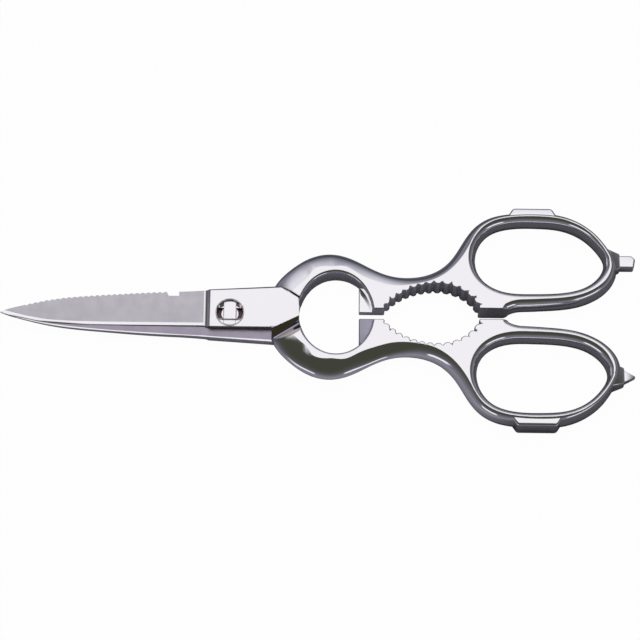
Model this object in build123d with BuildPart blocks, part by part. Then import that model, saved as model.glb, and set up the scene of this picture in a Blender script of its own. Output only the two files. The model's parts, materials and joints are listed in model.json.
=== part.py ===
from build123d import *
import os
from math import asin, degrees

# Kitchen shears, closed, lying flat with the tips towards -X
# X runs along the blades, Y across the handles, Z through the thickness
# The origin is under the middle of the shears, on the surface they lie on
# Sizes are in millimetres, places are counted from the pivot axis

# Blades
blade_reach = 73.5          # pivot axis to the tips
plate_thick = 3.5           # polished plate round the pivot, each half
plate_back = 7.6            # axis to the back of the plate at the grind
plate_back_end = 9.1        # axis to the back of the plate at the shoulder
plate_edge = 4.65           # axis to the plate's cutting side
plate_end = 22.1            # pivot axis to the end of the plate
grind_reach = 8.4           # pivot axis to the end of the ground face
grind_wheel = 2.2           # radius that the wheel leaves at the end of the ground face
back_thick = 2.0            # ground face at the back, by the pivot
edge_thick = 0.45           # ground face at the edge, by the pivot
tip_thick = 0.4             # ground face at the tip
edge_reach = 3.95           # axis to the cutting edge at its fullest
hone_width = 0.75           # honed strip along the edge
hone_land = 0.12            # flat left on the edge
hone_share = 0.9            # honed strip's rise for its width
lap_gap = 0.10              # running gap between the two blades

# Scaler teeth and bone notch, on the front blade's back
scaler_start = 21.6         # pivot axis to the first tooth
scaler_pitch = 1.8
scaler_count = 25
scaler_depth = 0.38
notch_reach = 18.0          # pivot axis to the middle of the notch
notch_width = 3.4
notch_depth = 1.3
notch_slant = 1.2           # slanted side of the notch

# Neck, where blade and handle join
neck_reach = 13.4           # pivot axis to the start of the neck
neck_side = 8.5             # axis to the seam at the start of the neck
seam_rise = 2.7             # axis to the seam at the ring
facet_width = 1.9           # bevel that drops from the plate to the seam
neck_thick = 1.1            # steel left above the lap plane at the seam
scoop_width = 3.2           # hollow that climbs from the seam to the handle
shoulder_run = 5.6          # slanted end of the plate, along the blade
shoulder_rise = 3.8         # slanted end of the plate, across the blade
shoulder_gap = 0.15         # stop clearance at the closed position
tang_length = 5.0           # tongue of the blade inside the handle
tang_inset = 2.4            # handle wall left beside the tongue
plate_bevel = 0.7           # broken edge round the plate
plate_slope = 12.0          # the plate thins over this width towards its cutting side
plate_drop = 1.7            # by this much

# Pivot stud
neck_radius = 2.8           # turning part of the stud
pivot_clearance = 0.05      # radial play of the front blade on the stud
head_radius = 4.1           # key head of the stud
head_width = 4.0            # across the head's two flats
head_clearance = 0.1        # play of the head in its recess and slot
head_height = 1.2
head_sink = 1.3             # head lies this far below the plate's thick side
head_step = 2.3             # sloped end of the key head
rivet_radius = 3.6          # countersunk end behind the rear blade

# Handles
handle_thick = 7.8          # loops and jaws
ring_thick = 7.4            # round the ring
waist_thick = 5.6           # thinnest place, between ring and jaws
neck_end_thick = 7.0        # where the handle starts
ring_wide = 23.4            # ring opening along X
ring_tall = 28.0            # ring opening along Y
land_length = 3.6           # between ring and jaws
handle_gap = 3.6            # between the two handles when closed
jaw_rise = 8.5              # jaw's depth above the handle gap
jaw_front = 17.3            # jaw, ring side to its deepest place
jaw_rear = 13.3             # jaw, deepest place to the loop side
jaw_front_count = 8
jaw_rear_count = 6
tooth_side = 1.1            # square notch that cuts each jaw tooth
tooth_share = 0.5
block_length = 8.2          # closed stretch between jaws and loops
hole_long = 41.4            # finger hole
hole_wide = 24.4
hole_lap = 1.1              # hole starts this far before the block
slot_half = 3.0             # half the slot between the loops
inner_band = 5.3            # loop, slot side
outer_band = 4.4            # loop, outer side
end_band = 4.2              # loop, far end
edge_round = 2.1            # rounding of the handle's outer edges
hole_round = 1.4            # rounding of the finger holes
tab_length = 12.6           # flat tab outside each loop
tab_proud = 0.9
tab_slope = 1.6
tab_thick = 5.2
lip_width = 4.3             # cap lifter lip, into the ring
lip_thick = 2.0
lip_low = 0.8               # lip's inner face above the lap plane
tab_back = 2.0              # tab's middle lies this far ahead of the hole's
boss_root = 2.5             # root of the driver and of the pick, inside the loop
boss_proud = 1.2
boss_width = 6.0
boss_thick = 5.6
driver_length = 4.9
driver_width = 4.4
driver_thick = 3.6
driver_corner = 1.2
pick_length = 3.4
pick_width = 4.4
pick_point = 0.3
overrun = 20.0              # cutting tools run past the solids

# Places worked out from the sizes above
ring_x = plate_end + ring_wide / 2
ring_right = plate_end + ring_wide
jaw_left_x = ring_right + land_length
jaw_peak_x = jaw_left_x + jaw_front
jaw_right_x = jaw_peak_x + jaw_rear
block_end_x = jaw_right_x + block_length
hole_x = jaw_right_x - hole_lap + hole_long / 2
hole_y = slot_half + inner_band + hole_wide / 2
handle_reach = hole_x + hole_long / 2 + end_band
handle_half = hole_y + hole_wide / 2 + outer_band
half_gap = handle_gap / 2
tip_y = hole_y - outer_band / 8
overall_reach = handle_reach + boss_proud + driver_length
pivot_x = (blade_reach - overall_reach) / 2
lap_z = handle_thick / 2

lap_plane = Plane(origin=(pivot_x, 0, lap_z))
side_plane = Plane(origin=(pivot_x, 0, lap_z), x_dir=(1, 0, 0), z_dir=(0, -1, 0))

# Outlines, as shares of reach (X) and half width (Y)
blade_back_shares = [(0.915, 0.26), (0.785, 0.54), (0.565, 0.765), (0.30, 0.92)]
blade_edge_shares = [(0.925, 0.38), (0.85, 0.67), (0.75, 0.90), (0.60, 0.985), (0.40, 1.0)]
outer_shares = [(0.155, 0.437), (0.207, 0.552), (0.258, 0.588), (0.31, 0.548), (0.363, 0.457),
                (0.413, 0.389), (0.457, 0.371), (0.502, 0.391), (0.541, 0.452), (0.571, 0.549),
                (0.601, 0.712), (0.632, 0.857), (0.672, 0.948), (0.727, 0.99), (0.79, 1.0),
                (0.855, 0.978), (0.905, 0.911), (0.95, 0.79), (0.985, 0.62)]
inner_shares = [(0.988, 0.335), (0.945, 0.198), (0.89, 0.123), (0.82, 0.092), (0.765, 0.081), (0.73, 0.066)]
hole_shares = [(-1.0, -0.07), (-0.77, 0.76), (-0.41, 0.98), (0.0, 1.0), (0.36, 0.94), (0.65, 0.73), (0.88, 0.36),
               (1.0, -0.08), (0.79, -0.69), (0.42, -0.94), (-0.12, -1.0), (-0.6, -0.93), (-0.89, -0.61)]


def shared(shares, reach, half, sign=1):
    return [(sign * along * reach, across * half) for along, across in shares]


seam_start = (neck_reach, neck_side)
seam_end = (plate_end, seam_rise)
seam_line = Vector(*seam_end) - Vector(*seam_start)
seam_out = Vector(-seam_line.Y, seam_line.X).normalized() * tang_length
tang_first = Vector(*seam_start) + seam_line.normalized() * tang_inset
tang_last = Vector(*seam_end) - seam_line.normalized() * tang_inset
tang_corners = [tang_first, tang_first + seam_out, tang_last + seam_out, tang_last]


# A bevelling prism over a straight edge from start to end, solid on the edge's right
def bevel_tool(start, end, width, drop, height):
    line = Vector(*end) - Vector(*start)
    across = Plane(origin=lap_plane.from_local_coords(Vector(*start)),
                   x_dir=(-line.Y, line.X, 0), z_dir=(line.X, line.Y, 0))
    with BuildPart(mode=Mode.PRIVATE) as tool:
        with BuildSketch(across.offset(-width)):
            with BuildLine():
                Polyline((-width, height), (width, height - 2 * drop), (width, overrun), (-width, overrun), close=True)
            make_face()
        extrude(amount=line.length + 2 * width)
    return tool.part


# One blade: handle side towards +Y, inner face on the lap plane, back towards -Y
def blade_form(scaler):
    top = plate_thick
    with BuildPart() as form:
        with BuildSketch(lap_plane.offset(lap_gap / 2)):
            with BuildLine():
                tip = (-blade_reach, 0)
                back = [(x, -y) for x, y in shared(blade_back_shares, blade_reach, plate_back, -1)]
                grind_back = (-grind_reach, -plate_back)
                back_line = Spline(tip, *back, grind_back, tangents=[(0.9, -0.42), (1, -0.07)])
                edge = shared(blade_edge_shares, blade_reach, edge_reach, -1)
                grind_edge = (-grind_reach, edge_reach)
                edge_line = Spline(tip, *edge, grind_edge, tangents=[(0.85, 0.5), (1, 0)])
                Polyline(grind_back, (plate_end - shoulder_run - facet_width, -plate_back_end),
                         (plate_end - shoulder_run, -plate_back_end),
                         (plate_end, -plate_back_end + shoulder_rise),
                         seam_end, seam_start,
                         (neck_reach, plate_edge), (-grind_reach + grind_wheel, plate_edge), grind_edge)
            make_face()
        extrude(amount=top - lap_gap / 2)

        # Broken edges of the polished plate, its slope and the facet down to the seam
        back_corner = (plate_end - shoulder_run, -plate_back_end)
        end_corner = (plate_end, -plate_back_end + shoulder_rise)
        for start, end, width, drop in [(seam_end, end_corner, plate_bevel, plate_bevel),
                                        (end_corner, back_corner, plate_bevel, plate_bevel),
                                        (back_corner, grind_back, plate_bevel, plate_bevel),
                                        (grind_edge, (neck_reach, plate_edge), plate_slope, plate_drop),
                                        (seam_start, seam_end, facet_width, top - neck_thick)]:
            add(bevel_tool(start, end, width, drop, top), mode=Mode.SUBTRACT)

        # Ground face, with the arc that the wheel leaves at its end
        near = Vector(-grind_reach, -plate_back, back_thick)
        across = Vector(-grind_reach, edge_reach, edge_thick) - near
        along = Vector(-blade_reach, 0, tip_thick) - near
        normal = along.cross(across)
        normal = normal if normal.Z > 0 else normal * -1
        run = across.cross(normal)
        run = run if run.X < 0 else run * -1
        wheel_plane = Plane(origin=lap_plane.from_local_coords(near), x_dir=run, z_dir=run.cross(normal))
        with BuildSketch(wheel_plane):
            with BuildLine():
                RadiusArc((0, 0), (-grind_wheel, grind_wheel), grind_wheel)
                Polyline((-grind_wheel, grind_wheel), (-grind_wheel, overrun),
                         (blade_reach, overrun), (blade_reach, 0), (0, 0))
            make_face()
        extrude(amount=overrun, both=True, mode=Mode.SUBTRACT)

        # Honed strip along the cutting edge
        hone_rise = hone_width * hone_share
        with BuildLine() as edge_path:
            add(edge_line.moved(lap_plane.location))
        with BuildSketch(Plane(origin=edge_path.line @ 1, z_dir=edge_path.line % 1, x_dir=(0, -1, 0))):
            with BuildLine():
                Polyline((-hone_width, hone_land - hone_rise), (hone_width, hone_land + hone_rise),
                         (hone_width, plate_edge), (-hone_width, plate_edge), close=True)
            make_face()
        sweep(path=edge_path.line, mode=Mode.SUBTRACT)

        # Tongue that the handle holds
        with BuildSketch(lap_plane.offset(lap_gap / 2)):
            with BuildLine():
                Polyline(*tang_corners, close=True)
            make_face()
        extrude(amount=neck_thick - lap_gap)

        # Scaler teeth and bone notch in the back
        if scaler:
            with BuildSketch(lap_plane):
                for index in range(scaler_count):
                    reach = scaler_start + index * scaler_pitch
                    root = back_line @ ((blade_reach - reach) / (blade_reach - grind_reach))
                    turn = back_line % ((blade_reach - reach) / (blade_reach - grind_reach))
                    with Locations(root):
                        Polygon((-scaler_pitch / 2, -scaler_depth / 2), (0, scaler_depth),
                                (scaler_pitch / 2, -scaler_depth / 2),
                                rotation=degrees(asin(turn.Y)), align=None)
                with Locations(back_line @ ((blade_reach - notch_reach) / (blade_reach - grind_reach))):
                    Polygon((-notch_width / 2 - notch_slant, -notch_depth), (-notch_width / 2, notch_depth),
                            (notch_width / 2, notch_depth), (notch_width / 2, -notch_depth), align=None)
            extrude(amount=overrun, mode=Mode.SUBTRACT)
    return form.part


# One handle without its tip: on the +Y side, its own plate above the lap plane
def handle_form():
    with BuildPart() as form:
        # Outer contour in one smooth run, closed beyond the gap where it is cut off later
        with BuildSketch(lap_plane.offset(-handle_thick / 2)):
            with BuildLine():
                outer = shared(outer_shares, handle_reach, handle_half)
                far_end = (handle_reach, hole_y - inner_band / 2)
                inner = shared(inner_shares, handle_reach, handle_half)
                hidden = [(block_end_x, half_gap / 2), (block_end_x - 2 * half_gap, -half_gap),
                          (jaw_peak_x, -3 * half_gap), (ring_x, -3 * half_gap), (neck_reach, -half_gap)]
                Spline(seam_start, *outer, far_end, *inner, *hidden, periodic=True)
            make_face()
        extrude(amount=handle_thick)
        fillet(form.faces().filter_by(Axis.Z).edges(), radius=edge_round)

        # Finger hole
        with BuildSketch(lap_plane.offset(-handle_thick / 2)):
            with BuildLine():
                Spline(*[(hole_x + x, hole_y + y) for x, y in shared(hole_shares, hole_long / 2, hole_wide / 2)],
                       periodic=True)
            make_face()
        extrude(amount=handle_thick, mode=Mode.SUBTRACT)
        hole_rims = [e for e in form.faces().filter_by(Axis.Z).edges() if (e @ 0).X > pivot_x + jaw_right_x - overrun
                     and e.bounding_box().size.X < hole_long + hole_lap]
        fillet(hole_rims, radius=hole_round)

        # Crisp stretch beside the gap, and the seam with the blade
        with BuildSketch(lap_plane.offset(-handle_thick)):
            with BuildLine():
                past_seam = Vector(*seam_start) - seam_line
                Polyline((handle_reach + overrun, half_gap), (plate_end, half_gap), seam_end, past_seam,
                         (past_seam.X, -overrun), (handle_reach + overrun, -overrun), close=True)
            make_face()
        extrude(amount=2 * handle_thick, mode=Mode.SUBTRACT)

        # Ring opening
        with BuildSketch(lap_plane.offset(-handle_thick)):
            with Locations((ring_x, 0)):
                Ellipse(ring_wide / 2, ring_tall / 2)
        extrude(amount=2 * handle_thick, mode=Mode.SUBTRACT)

        # Jaws: two arcs, then their teeth
        with BuildSketch(lap_plane.offset(-handle_thick)):
            with BuildLine():
                peak = (jaw_peak_x, half_gap + jaw_rise)
                front = TangentArc(peak, (jaw_left_x, half_gap), tangent=(-1, 0))
                rear = TangentArc(peak, (jaw_right_x, half_gap), tangent=(1, 0))
                Polyline(front @ 1, (jaw_left_x, -half_gap), (jaw_right_x, -half_gap), rear @ 1)
            make_face()
        extrude(amount=2 * handle_thick, mode=Mode.SUBTRACT)
        with BuildSketch(lap_plane.offset(-handle_thick)):
            for arc, teeth in [(front, jaw_front_count), (rear, jaw_rear_count)]:
                for index in range(teeth):
                    place = (index + tooth_share) / teeth
                    with Locations(arc @ place):
                        Rectangle(tooth_side, tooth_side, rotation=45 + degrees(asin((arc % place).Y)))
        extrude(amount=2 * handle_thick, mode=Mode.SUBTRACT)

        # Waist: both faces dip between the ring and the jaws
        for side in (1, -1):
            with BuildSketch(side_plane):
                with BuildLine():
                    low, high = side * handle_thick / 2, side * handle_thick
                    dip = Spline((neck_reach - scoop_width, side * neck_end_thick / 2), (ring_x, side * ring_thick / 2),
                                 (ring_right + half_gap, side * waist_thick / 2), (jaw_peak_x, low),
                                 tangents=[(1, 0), (1, 0)])
                    Polyline(dip @ 1, (jaw_peak_x, high), ((dip @ 0).X, high), dip @ 0)
                make_face()
            extrude(amount=-overrun - handle_half, mode=Mode.SUBTRACT)

        # Hollow that climbs from the seam to the handle's face
        with BuildSketch(Plane(origin=lap_plane.from_local_coords(Vector(*seam_start) - seam_line),
                               x_dir=(-seam_line.Y, seam_line.X, 0), z_dir=(seam_line.X, seam_line.Y, 0))):
            with BuildLine():
                rise = handle_thick / 2 - neck_thick
                climb = ThreePointArc((0, neck_thick), (scoop_width * 0.6, neck_thick + rise * 0.3),
                                      (scoop_width, neck_thick + rise))
                Polyline(climb @ 1, (scoop_width, handle_thick), (-scoop_width, handle_thick),
                         (-scoop_width, neck_thick), (0, neck_thick))
            make_face()
        extrude(amount=3 * seam_line.length, mode=Mode.SUBTRACT)

        # Room for the other half's plate, which stops against the shoulder
        with BuildSketch(lap_plane.offset(lap_gap / 2)):
            with BuildLine():
                Polyline((-overrun, plate_back_end + shoulder_gap),
                         (plate_end - shoulder_run + shoulder_gap / 2, plate_back_end + shoulder_gap),
                         (plate_end + shoulder_gap, plate_back_end - shoulder_rise + shoulder_gap / 2),
                         (plate_end + shoulder_gap, -overrun), (-overrun, -overrun), close=True)
            make_face()
        extrude(amount=-handle_thick, mode=Mode.SUBTRACT)

        # Cap lifter lip inside the ring
        with BuildSketch(lap_plane.offset(lip_low)):
            with Locations((ring_x, 0)):
                Ellipse(ring_wide / 2 + lap_gap, ring_tall / 2 + lap_gap)
            with Locations((ring_right - lip_width, half_gap)):
                Rectangle(ring_wide, ring_tall, align=(Align.MIN, Align.MIN), mode=Mode.INTERSECT)
        extrude(amount=lip_thick)

        # Flat tab outside the loop
        with BuildSketch(lap_plane.offset(-tab_thick / 2)):
            with BuildLine():
                tab_x = hole_x - tab_back
                base, crest = handle_half - outer_band / 2, handle_half + tab_proud
                Polyline((tab_x - tab_length / 2 - tab_slope, base), (tab_x - tab_length / 2, crest),
                         (tab_x + tab_length / 2, crest), (tab_x + tab_length / 2 + tab_slope, base), close=True)
            make_face()
        extrude(amount=tab_thick)

        # Root of the driver or the pick at the loop's end
        with BuildSketch(lap_plane.offset(-boss_thick / 2)):
            with Locations((handle_reach - boss_root, tip_y)):
                Rectangle(boss_root + boss_proud, boss_width, align=(Align.MIN, Align.CENTER))
        extrude(amount=boss_thick)
    return form.part


def tang():
    with BuildPart() as tool:
        with BuildSketch(lap_plane):
            with BuildLine():
                Polyline(*tang_corners, close=True)
            make_face()
        extrude(amount=neck_thick - lap_gap / 2)
    return tool.part


# The front blade turns on the stud: bore, key slot for the head, and the head's recess
with BuildPart() as front_blade:
    add(blade_form(True).mirror(Plane.XZ))
    with BuildSketch(lap_plane):
        Circle(neck_radius + pivot_clearance)
        Rectangle(2 * (head_radius + head_clearance), head_width + 2 * head_clearance)
    extrude(amount=plate_thick, mode=Mode.SUBTRACT)
    with BuildSketch(lap_plane.offset(plate_thick)):
        Circle(head_radius + head_clearance)
    extrude(amount=-(head_sink + head_height + head_clearance), mode=Mode.SUBTRACT)

# The rear blade holds the stud, countersunk behind
with BuildPart() as rear_blade:
    add(blade_form(False).mirror(lap_plane))
    with Locations(lap_plane.offset(-plate_thick)):
        with Locations(Rotation(180, 0, 0)):
            CounterSinkHole(neck_radius, rivet_radius, counter_sink_angle=90)

# The stud: rivet, round neck and the key head with two flats
with BuildPart() as pivot_stud:
    seat = plate_thick - head_sink - head_height
    with BuildSketch(lap_plane.offset(-plate_thick)):
        Circle(neck_radius)
    extrude(amount=plate_thick + seat)
    with BuildSketch(lap_plane.offset(-plate_thick)):
        Circle(rivet_radius)
    extrude(amount=rivet_radius - neck_radius, taper=45)
    with BuildSketch(lap_plane.offset(seat)):
        Circle(head_radius)
        Rectangle(head_width, 2 * head_radius, mode=Mode.INTERSECT)
    extrude(amount=head_height)
    with BuildSketch(Plane(origin=(pivot_x, 0, lap_z), x_dir=(0, 1, 0), z_dir=(1, 0, 0))):
        with BuildLine():
            Polyline((-head_step, seat + head_height), (-head_step, seat + head_height / 2 + head_clearance),
                     (-2 * head_radius, seat + head_height / 2), (-2 * head_radius, overrun),
                     (-head_step, overrun), close=True)
        make_face()
    extrude(amount=head_width, both=True, mode=Mode.SUBTRACT)

# The front handle ends in a pointed pick
with BuildPart() as front_handle:
    add(handle_form().mirror(Plane.XZ))
    add(tang().mirror(Plane.XZ), mode=Mode.SUBTRACT)
    end_plane = Plane(origin=(pivot_x + handle_reach + boss_proud, -tip_y, lap_z), x_dir=(0, 1, 0), z_dir=(1, 0, 0))
    with BuildSketch(end_plane):
        Rectangle(pick_width, pick_width)
    with BuildSketch(end_plane.offset(pick_length)):
        Rectangle(pick_point, pick_point)
    loft()

# The rear handle ends in a flat driver
with BuildPart() as rear_handle:
    add(handle_form().mirror(lap_plane))
    add(tang().mirror(lap_plane), mode=Mode.SUBTRACT)
    with BuildSketch(lap_plane.offset(-driver_thick / 2)):
        with BuildLine():
            start, side = handle_reach + boss_proud, driver_width / 2
            Polyline((start, tip_y - side), (start + driver_length - driver_corner / 2, tip_y - side),
                     (start + driver_length, tip_y + side - driver_corner),
                     (start + driver_length - driver_corner, tip_y + side), (start, tip_y + side), close=True)
        make_face()
    extrude(amount=driver_thick)

os.makedirs("parts", exist_ok=True)
pieces = {"front_blade": front_blade, "rear_blade": rear_blade, "pivot_stud": pivot_stud,
          "front_handle": front_handle, "rear_handle": rear_handle}
for name, piece in pieces.items():
    piece.part.label = name
    export_step(piece.part, f"parts/{name}.step")
    print(name, piece.part.is_valid, len(piece.part.solids()), round(piece.part.volume))
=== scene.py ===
import bpy
import bmesh
import json
import math
import numpy as np
from mathutils import Matrix, Vector
from mathutils.geometry import delaunay_2d_cdt as delaunay


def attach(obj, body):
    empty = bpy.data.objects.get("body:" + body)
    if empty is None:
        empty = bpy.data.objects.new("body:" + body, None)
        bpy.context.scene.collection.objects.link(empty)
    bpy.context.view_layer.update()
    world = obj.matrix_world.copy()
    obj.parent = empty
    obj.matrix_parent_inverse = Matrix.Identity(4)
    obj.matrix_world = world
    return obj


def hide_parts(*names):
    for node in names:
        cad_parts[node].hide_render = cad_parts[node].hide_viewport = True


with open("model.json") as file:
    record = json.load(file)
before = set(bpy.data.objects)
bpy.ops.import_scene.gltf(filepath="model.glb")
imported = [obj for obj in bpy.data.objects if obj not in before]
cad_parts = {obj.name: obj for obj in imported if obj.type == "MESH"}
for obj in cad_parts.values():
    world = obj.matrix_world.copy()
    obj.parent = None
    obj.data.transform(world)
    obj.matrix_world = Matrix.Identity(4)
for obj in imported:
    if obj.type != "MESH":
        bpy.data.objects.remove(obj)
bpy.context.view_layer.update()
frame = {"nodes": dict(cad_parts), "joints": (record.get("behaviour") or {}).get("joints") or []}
nodes = frame["nodes"]
pivot = Vector(frame["joints"][0]["pos_m"])
print("frame loaded, pivot at", tuple(pivot))

# the camera stands above the near side of the table
cameraSet = {
    "distance": 0.800,      # metres from the aim point
    "elevation": 66.0,      # degrees above the table
    "roll": 0.76,           # degrees
    "aimX": 0.0288,         # from the pivot, along the shears
    "aimY": -0.00126,
    "pixelFocal": 2502.0,   # focal length in pixels of the photograph's frame
    "frameWidth": 640,      # pixels
    "sensorWidth": 36.0,    # millimetres
    "clipStart": 0.05, "clipEnd": 20,
}


def makeCamera(s):
    data = bpy.data.cameras.new("photoCamera")
    cam = bpy.data.objects.new("photoCamera", data)
    bpy.context.collection.objects.link(cam)
    data.sensor_width = s["sensorWidth"]
    data.sensor_fit = "HORIZONTAL"
    data.lens = s["pixelFocal"] / s["frameWidth"] * s["sensorWidth"]
    e = math.radians(s["elevation"])
    aim = pivot + Vector((s["aimX"], s["aimY"], 0))
    away = Vector((0, -math.cos(e), math.sin(e)))
    cam.location = aim + away * s["distance"]
    turn = (-away).to_track_quat("-Z", "Y").to_matrix()
    cam.rotation_euler = (turn @ Matrix.Rotation(math.radians(s["roll"]), 3, "Z")).to_euler()
    data.clip_start, data.clip_end = s["clipStart"], s["clipEnd"]
    bpy.context.scene.camera = cam


# short ways to join shader nodes
def link(nt, a, b):
    nt.links.new(a, b)


def feed(nt, socket, value):
    # takes a plain value or another node's output
    if isinstance(value, (int, float, tuple)):
        socket.default_value = value
    else:
        link(nt, value, socket)


def sums(nt, kind, *values):
    node = nt.nodes.new("ShaderNodeMath")
    node.operation = kind
    for i, value in enumerate(values):
        feed(nt, node.inputs[i], value)
    return node.outputs[0]


def mixed(nt, share, a, b, kind="RGBA"):
    node = nt.nodes.new("ShaderNodeMix")
    node.data_type = kind
    for name, value in (("Factor", share), ("A", a), ("B", b)):
        feed(nt, node.inputs[name], value)
    return node.outputs["Result"]


def mixedShader(nt, share, a, b):
    node = nt.nodes.new("ShaderNodeMixShader")
    for i, value in enumerate((share, a, b)):
        link(nt, value, node.inputs[i])
    return node.outputs[0]


def mapRange(nt, value, low, high, start=0.0, end=1.0, soft=True):
    node = nt.nodes.new("ShaderNodeMapRange")
    node.interpolation_type = "SMOOTHSTEP" if soft else "LINEAR"
    node.inputs["From Min"].default_value = low
    node.inputs["From Max"].default_value = high
    node.inputs["To Min"].default_value = start
    node.inputs["To Max"].default_value = end
    link(nt, value, node.inputs["Value"])
    return node.outputs[0]


def axes(nt, value):
    node = nt.nodes.new("ShaderNodeSeparateXYZ")
    link(nt, value, node.inputs[0])
    return node.outputs


# pale table in a studio: soft box overhead, unlit side behind the camera
table = {
    "size": 3.0,
    "colour": (0.84, 0.83, 0.85, 1),
    "cameraWhite": 0.975,   # share of plain white that the camera sees, the rest keeps the shadow
    "nearReflectedShade": (0.42, 0.41, 0.48, 1),    # painted shade: table colour in the steel's reflections, near side
    "farReflectedShade": (0.11, 0.11, 0.13, 1),     # painted shade in the reflections, behind
    "nearReach": -0.055, "farReach": 0.045,
    "loopReflectedShade": (0.13, 0.13, 0.145, 1),   # painted shade in the reflections, under the finger loops
    "loopReach": (0.035, 0.06),
}
# places in the room are shares: up from the horizon to overhead, across, and towards the far side
room = {
    "soft": (0.95, 0.935, 0.965, 1),    # soft box, overhead and behind
    "middle": (0.78, 0.77, 0.83, 1),
    "dim": (0.27, 0.28, 0.33, 1),
    "back": (0.06, 0.065, 0.08, 1),     # wall behind, down to the horizon
    "softRise": 0.88, "middleRise": 0.60, "dimRise": 0.28,
    "dark": (0.055, 0.058, 0.043, 1),   # unlit side, where the camera stands
    "low": (0.21, 0.21, 0.255, 1),      # the same side, down to the horizon
    "lowReach": (0.0, 0.86),            # it darkens between these
    "boxFront": (0.03, 0.125),          # the soft box fades out between these
    "boxSide": (0.34, 0.62),
    "window": (0.95, 0.95, 1.0, 1),     # two narrow light cards low on the unlit side
    "windowInner": (0.36, 0.44), "windowOuter": (0.76, 0.84),
    "windowFoot": (0.18, 0.22), "windowHead": (0.38, 0.44), "windowFront": (-0.3, -0.1),
}
lamp = {"place": (0, 0.3, 1.5), "size": (2.0, 2.0), "power": 13.0, "colour": (1.0, 0.99, 1.0)}


def makeTable(s):
    half = s["size"] / 2
    corners = [(-half, -half, 0), (half, -half, 0), (half, half, 0), (-half, half, 0)]
    mesh = bpy.data.meshes.new("tableTop")
    mesh.from_pydata(corners, [], [(0, 1, 2, 3)])
    top = bpy.data.objects.new("tableTop", mesh)
    bpy.context.collection.objects.link(top)
    mat = bpy.data.materials.new("paleTable")
    mat.use_nodes = True
    nt = mat.node_tree
    nt.nodes.clear()
    out = nt.nodes.new("ShaderNodeOutputMaterial")
    diffuse = nt.nodes.new("ShaderNodeBsdfDiffuse")
    glow = nt.nodes.new("ShaderNodeEmission")
    glow.inputs["Color"].default_value = (1, 1, 1, 1)
    path = nt.nodes.new("ShaderNodeLightPath")
    place = axes(nt, nt.nodes.new("ShaderNodeTexCoord").outputs["Object"])
    across = mapRange(nt, place["Y"], s["nearReach"], s["farReach"], soft=False)
    along = mapRange(nt, place["X"], *s["loopReach"], soft=False)
    # painted shade: the table is darker in the steel's reflections than to the camera, darkest behind and
    # under the finger loops
    reflectedShade = mixed(nt, along, mixed(nt, across, s["nearReflectedShade"], s["farReflectedShade"]), s["loopReflectedShade"])
    link(nt, mixed(nt, path.outputs["Is Glossy Ray"], s["colour"], reflectedShade), diffuse.inputs["Color"])
    seen = sums(nt, "MULTIPLY", path.outputs["Is Camera Ray"], s["cameraWhite"])
    link(nt, mixedShader(nt, seen, diffuse.outputs[0], glow.outputs[0]), out.inputs["Surface"])
    mesh.materials.append(mat)


def makeRoom(s):
    world = bpy.data.worlds.new("studioRoom")
    bpy.context.scene.world = world
    world.use_nodes = True
    nt = world.node_tree
    nt.nodes.clear()
    out = nt.nodes.new("ShaderNodeOutputWorld")
    light = nt.nodes.new("ShaderNodeBackground")
    white = nt.nodes.new("ShaderNodeBackground")
    white.inputs["Color"].default_value = (1, 1, 1, 1)
    way = axes(nt, nt.nodes.new("ShaderNodeTexCoord").outputs["Generated"])
    side = sums(nt, "ABSOLUTE", way["X"])
    ramp = nt.nodes.new("ShaderNodeValToRGB")
    stops = ramp.color_ramp.elements
    stops[0].position, stops[0].color = 0.0, s["back"]
    stops[1].position, stops[1].color = s["softRise"], s["soft"]
    for rise, colour in ((s["middleRise"], s["middle"]), (s["dimRise"], s["dim"])):
        stops.new(rise).color = colour
    link(nt, way["Z"], ramp.inputs[0])
    overhead, between = mapRange(nt, way["Y"], *s["boxFront"]), mapRange(nt, side, *s["boxSide"], 1, 0)
    lit = sums(nt, "MULTIPLY", overhead, between)
    wall = mixed(nt, mapRange(nt, way["Z"], *s["lowReach"]), s["low"], s["dark"])
    card = mapRange(nt, side, *s["windowInner"])
    for value, edge, ends in ((side, "windowOuter", (1, 0)), (way["Z"], "windowFoot", (0, 1)),
                              (way["Z"], "windowHead", (1, 0)), (way["Y"], "windowFront", (1, 0))):
        card = sums(nt, "MULTIPLY", card, mapRange(nt, value, *s[edge], *ends))
    unlit = mixed(nt, card, wall, s["window"])
    link(nt, mixed(nt, lit, unlit, ramp.outputs[0]), light.inputs["Color"])
    path = nt.nodes.new("ShaderNodeLightPath")
    shown = mixedShader(nt, path.outputs["Is Camera Ray"], light.outputs[0], white.outputs[0])
    link(nt, shown, out.inputs["Surface"])


def makeLamp(s):
    data = bpy.data.lights.new("overheadLamp", "AREA")
    data.shape = "RECTANGLE"
    data.size, data.size_y = s["size"]
    data.energy = s["power"]
    data.color = s["colour"]
    obj = bpy.data.objects.new("overheadLamp", data)
    bpy.context.collection.objects.link(obj)
    obj.location = s["place"]
    obj.rotation_euler = (-Vector(s["place"])).to_track_quat("-Z", "Y").to_euler()
    obj.visible_glossy = False


makeCamera(cameraSet)
makeTable(table)
makeRoom(room)
makeLamp(lamp)
bpy.context.scene.view_settings.view_transform = "Standard"
print("camera, table and light made")

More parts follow.
